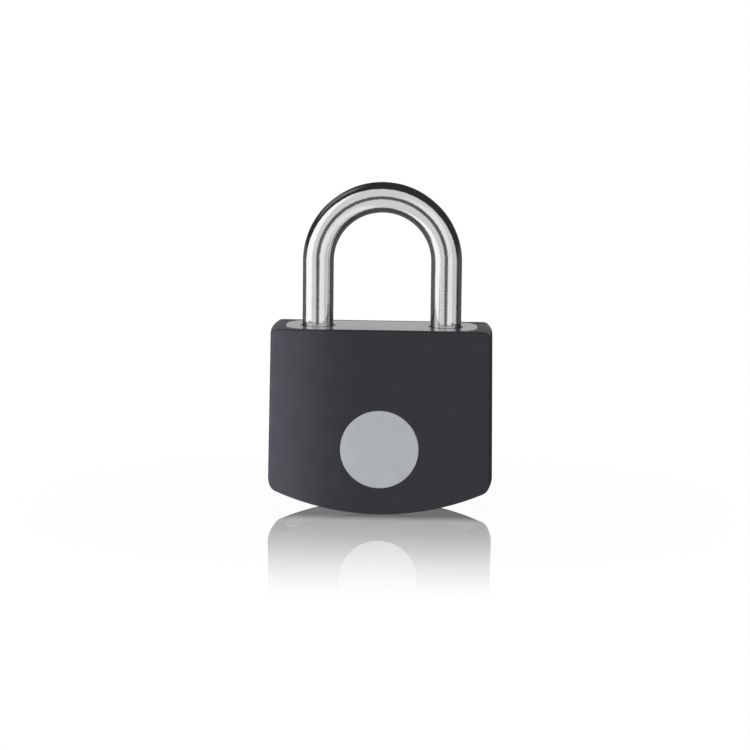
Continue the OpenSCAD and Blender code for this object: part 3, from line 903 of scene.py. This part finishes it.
def makeStudio():
    world = bpy.data.worlds.new("studio")
    bpy.context.scene.world = world
    world.use_nodes = True
    tree = world.node_tree
    tree.nodes.clear()
    coords = addNode(tree, "ShaderNodeTexCoord")
    axes = addNode(tree, "ShaderNodeSeparateXYZ")
    join(tree, coords, "Generated", axes, "Vector")
    front = addNode(tree, "ShaderNodeMath", {1: -1.0}, operation="MULTIPLY")
    join(tree, axes, "Y", front, 0)
    around = addNode(tree, "ShaderNodeMath", operation="ARCTAN2")
    join(tree, axes, "X", around, 0)
    join(tree, front, "Value", around, 1)
    az = addNode(tree, "ShaderNodeMath", operation="DEGREES")
    join(tree, around, "Value", az, 0)
    height = addNode(tree, "ShaderNodeMath", operation="ARCSINE")
    join(tree, axes, "Z", height, 0)
    el = addNode(tree, "ShaderNodeMath", operation="DEGREES")
    join(tree, height, "Value", el, 0)
    level = layCards(tree, None, cards, az, el)
    level = layOver(tree, level, gapMask(tree, az, el), "Result", gap["level"])
    level = layOver(tree, level, hoodMask(tree, coords), "Result", roomLevel)
    level = layCards(tree, level, backCards, az, el)
    ray = addNode(tree, "ShaderNodeLightPath")
    shown = addNode(tree, "ShaderNodeMix", {"B": 1.0}, data_type="FLOAT")
    join(tree, ray, "Is Camera Ray", shown, "Factor")
    join(tree, level, "Result", shown, "A")
    back = addNode(tree, "ShaderNodeBackground", {"Color": (1, 1, 1, 1)})
    join(tree, shown, "Result", back, "Strength")
    leave = addNode(tree, "ShaderNodeOutputWorld")
    join(tree, back, "Background", leave, "Surface")


def gapMask(tree, az, el):
    # the dark opening in the front cards that the camera looks through
    parts = []
    for value, centre, reach in ((az, gap["az"], gap["wide"]), (el, gap["el"], gap["tall"])):
        moved = addNode(tree, "ShaderNodeMath", {1: centre}, operation="SUBTRACT")
        join(tree, value, "Value", moved, 0)
        share = addNode(tree, "ShaderNodeMath", {1: reach}, operation="DIVIDE")
        join(tree, moved, "Value", share, 0)
        square = addNode(tree, "ShaderNodeMath", {1: 2.0}, operation="POWER")
        lone = addNode(tree, "ShaderNodeMath", operation="ABSOLUTE")
        join(tree, share, "Value", lone, 0)
        join(tree, lone, "Value", square, 0)
        parts.append(square)
    total = addNode(tree, "ShaderNodeMath", operation="ADD")
    join(tree, parts[0], "Value", total, 0)
    join(tree, parts[1], "Value", total, 1)
    mask = addNode(tree, "ShaderNodeMapRange", {"From Min": 1.15, "From Max": 0.85},
                   interpolation_type="SMOOTHSTEP", clamp=True)
    join(tree, total, "Value", mask, "Value")
    return mask


shot = {"azimuth": 1.82, "elevation": 8.65, "roll": 0.6, "distance": 596.0, "lens": 146.65,
        "aimHeight": 30.0, "aimLeft": 1.22, "aimDown": 3.72}


def makeCamera():
    a, e, roll = (math.radians(shot[k]) for k in ("azimuth", "elevation", "roll"))
    back = Vector((math.sin(a) * math.cos(e), -math.cos(a) * math.cos(e), math.sin(e)))
    aim = Vector((0, 0, shot["aimHeight"]))
    eye = aim + back * shot["distance"]
    right = (-back).cross(Vector((0, 0, 1))).normalized()
    up = right.cross(-back)
    aim = aim - right * shot["aimLeft"] - up * shot["aimDown"]
    back = (eye - aim).normalized()
    right = (-back).cross(Vector((0, 0, 1))).normalized()
    up = right.cross(-back)
    rightward = right * math.cos(roll) + up * math.sin(roll)
    over = up * math.cos(roll) - right * math.sin(roll)
    camera = bpy.data.objects.new("camera", bpy.data.cameras.new("camera"))
    bpy.context.scene.collection.objects.link(camera)
    camera.matrix_world = Matrix.Translation(eye * mm) @ Matrix((rightward, over, back)).transposed().to_4x4()
    camera.data.lens = shot["lens"]
    camera.data.sensor_width = 36
    camera.data.clip_start = 0.01
    camera.data.clip_end = 50
    bpy.context.scene.camera = camera


kicker = {"from": (-230.0, -420.0, 30.0), "at": (-28.0, -7.6, 18.0), "power": 14.5, "angle": 3.9,
          "tall": 8.0, "radius": 8.0}


def makeKicker():
    # a narrow upright beam that grazes the left edge of the front
    lamp = bpy.data.lights.new("kicker", "SPOT")
    lamp.energy = kicker["power"]
    lamp.spot_size = math.radians(kicker["angle"])
    lamp.spot_blend = 1.0
    lamp.shadow_soft_size = kicker["radius"] * mm
    stand = bpy.data.objects.new("kicker", lamp)
    bpy.context.scene.collection.objects.link(stand)
    eye, aim = Vector(kicker["from"]), Vector(kicker["at"])
    stand.location = eye * mm
    stand.rotation_euler = (aim - eye).to_track_quat("-Z", "Y").to_euler()
    stand.scale = (1, kicker["tall"], 1)
    stand.visible_glossy = False


makeFloor()
makeStudio()
makeKicker()
makeCamera()
bpy.context.scene.view_settings.view_transform = "Standard"
print("studio made")
